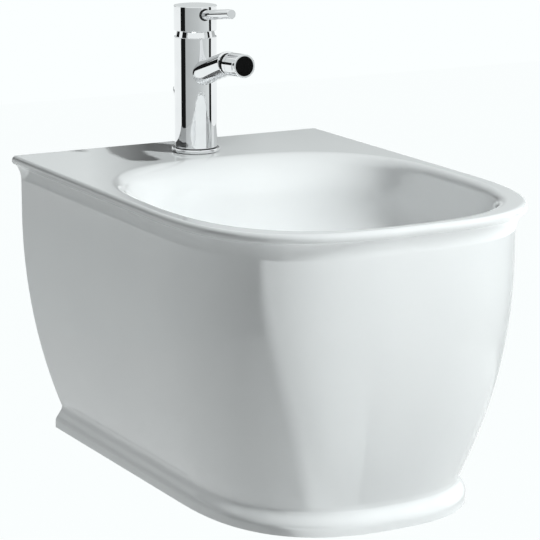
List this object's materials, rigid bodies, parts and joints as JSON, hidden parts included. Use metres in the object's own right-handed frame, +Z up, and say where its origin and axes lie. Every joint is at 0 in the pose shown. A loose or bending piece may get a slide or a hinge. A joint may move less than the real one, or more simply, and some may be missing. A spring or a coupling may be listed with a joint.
{
  "type": "wall-hung bidet",
  "caption": "Wall-hung bidet with a rolled rim and moulded foot, a single-lever mixer with a swivelling nozzle, and a pull-rod waste plug.",
  "frame": {"origin": "on the wall plane, midway between the two wall bolts", "axes": "+Y into the wall, so the front faces -Y; +X to the right seen from the front; +Z up"},
  "size_m": [0.37, 0.5145, 0.4624],
  "materials": {
    "glaze": "gloss",
    "chrome": "polished",
    "steel": "satin",
    "brass": "satin",
    "dark_metal": "polished",
    "rubber": "matte",
    "white_plastic": "satin",
    "grey_plastic": "satin",
    "black_plastic": "satin"
  },
  "bodies": {
    "pan": {"bidet_pan": "glaze", "wall_sleeves": "white_plastic", "wall_washers": "steel", "wall_nuts": "steel", "mixer_gasket": "rubber", "mixer_base_ring": "chrome", "mixer_body": "chrome", "shank_gasket": "rubber", "shank_washer": "steel", "shank_nut": "brass", "spout": "chrome", "socket_ring": "dark_metal", "cartridge_seal": "rubber", "cartridge_body": "grey_plastic", "cartridge_ring_nut": "brass", "neck_ring": "chrome", "waste_flange": "chrome", "waste_top_seal": "rubber", "waste_under_gasket": "rubber", "waste_body": "brass", "waste_tailpiece": "chrome", "tail_nut": "chrome", "ball_seat": "white_plastic", "ball_nut": "white_plastic"},
    "turret": {"cartridge_turret": "grey_plastic", "stem_pivot_pin": "steel"},
    "lever": {"cartridge_stem": "brass", "lever_cap": "chrome", "lever_pin": "chrome", "lever_grub_screw": "steel"},
    "race": {"ball_race": "grey_plastic"},
    "nozzle": {"nozzle_ball": "dark_metal", "nozzle_collar": "chrome", "nozzle_sleeve": "chrome", "aerator_insert": "black_plastic"},
    "pull_rod": {"lift_rod": "chrome", "lift_knob": "chrome", "strap_clamp": "steel", "link_strap": "steel", "clamp_screw": "steel"},
    "rocker": {"ball_rod": "steel"},
    "plug": {"plug_cap": "chrome", "plug_stem": "white_plastic", "plug_seal": "rubber"}
  },
  "joints": [
    {"name": "lever_turn", "type": "hinge", "parent": "pan", "child": "turret", "pos_m": [0, -0.064, 0.197], "axis": [0, 0, 1], "range_deg": [-50, 50]},
    {"name": "lever_lift", "type": "hinge", "parent": "turret", "child": "lever", "pos_m": [0, -0.064, 0.197], "axis": [-1, 0, 0], "range_deg": [0, 18]},
    {"name": "nozzle_swivel", "type": "hinge", "parent": "pan", "child": "race", "pos_m": [0, -0.1362, 0.18207], "axis": [0, -0.9563, 0.2924], "continuous": true},
    {"name": "nozzle_tilt", "type": "hinge", "parent": "race", "child": "nozzle", "pos_m": [0, -0.1362, 0.18207], "axis": [1, 0, 0], "range_deg": [-38.5, 11.5]},
    {"name": "pull", "type": "slide", "parent": "pan", "child": "pull_rod", "axis": [0, 0.5592, 0.829], "range_m": [-0.028, 0]},
    {"name": "rocker_tilt", "type": "hinge", "parent": "pan", "child": "rocker", "pos_m": [0, -0.205, -0.112], "axis": [1, 0, 0], "range_deg": [-9.53, 0]},
    {"name": "plug_rise", "type": "slide", "parent": "pan", "child": "plug", "axis": [0, 0, 1], "range_m": [0, 0.00497]}
  ],
  "couplings": [
    {"joint": "rocker_tilt", "follows": "pull", "rad_per_m": 5.9331},
    {"joint": "plug_rise", "follows": "pull", "ratio": -0.1772}
  ]
}
